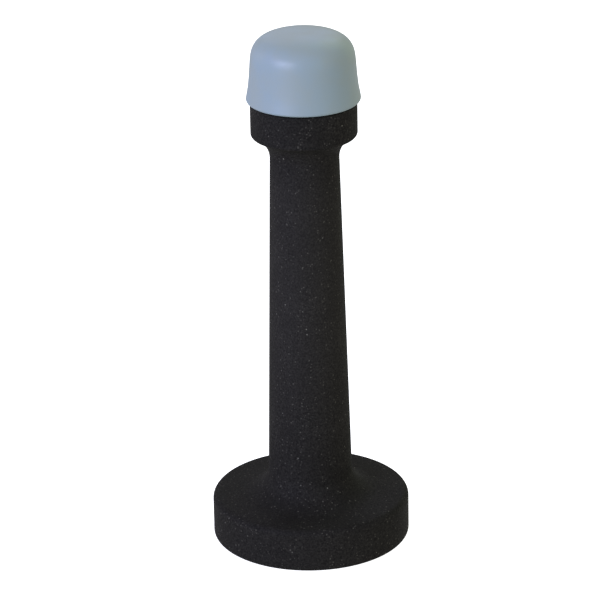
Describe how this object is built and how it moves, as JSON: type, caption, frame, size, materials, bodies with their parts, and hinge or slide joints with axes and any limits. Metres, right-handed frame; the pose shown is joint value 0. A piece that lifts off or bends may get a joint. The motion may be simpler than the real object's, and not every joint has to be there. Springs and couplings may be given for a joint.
{
  "type": "rigid wall-mounted door stop",
  "caption": "Slim tapered door stop with a round flange, a collar head under a soft domed bumper cap, and a concealed wood screw in its bore.",
  "frame": {"origin": "centre of the flange's rim face, on the stop's axis", "axes": "+Z along the stop's axis from the flange to the rubber cap; the stop is round, so +X and +Y are any two directions square to it"},
  "size_m": [0.036, 0.036, 0.096],
  "materials": {
    "black_powder_coat": "black powder coat with a fine sandy texture and small pale metallic flecks",
    "grey_rubber": "smooth satin moulded rubber, light blue-grey",
    "zinc_plated_steel": "bright zinc plating with a faint yellow cast"
  },
  "bodies": {
    "column": {"column_casting": "black_powder_coat"},
    "cap": {"bumper_cap": "grey_rubber"},
    "screw": {"fixing_screw": "zinc_plated_steel"}
  },
  "joints": [
    {"name": "cap_pull_off", "type": "slide", "parent": "column", "child": "cap", "axis": [0, 0, 1], "range_m": [0, 0.025]},
    {"name": "screw_slide", "type": "slide", "parent": "column", "child": "screw", "axis": [0, 0, -1], "range_m": [-0.0405, 0.0408]}
  ]
}
